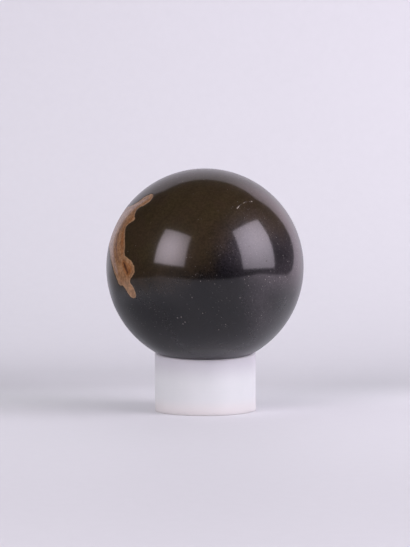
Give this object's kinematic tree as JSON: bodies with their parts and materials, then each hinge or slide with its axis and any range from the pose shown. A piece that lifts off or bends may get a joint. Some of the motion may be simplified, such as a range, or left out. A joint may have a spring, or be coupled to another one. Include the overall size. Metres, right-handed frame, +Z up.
{
  "type": "decorative sphere",
  "caption": "Polished dark stone ball with a tan inclusion, resting in the mouth of a short white plastic ring stand.",
  "frame": {"origin": "on the surface that the ring stands on, right under the ball's centre", "axes": "+Z up through the ball's centre, with the ring's axis parallel to it and 2.2 mm behind; -Y towards the viewer, with the tan inclusion at -X"},
  "size_m": [0.07, 0.07, 0.0861],
  "materials": {
    "polished_stone": "mirror polish with fine pits, olive brown into black, one tan inclusion",
    "ring_plastic": "milky white, satin"
  },
  "bodies": {
    "root": {"stone_ball": "polished_stone", "ring_stand": "ring_plastic"}
  },
  "joints": []
}
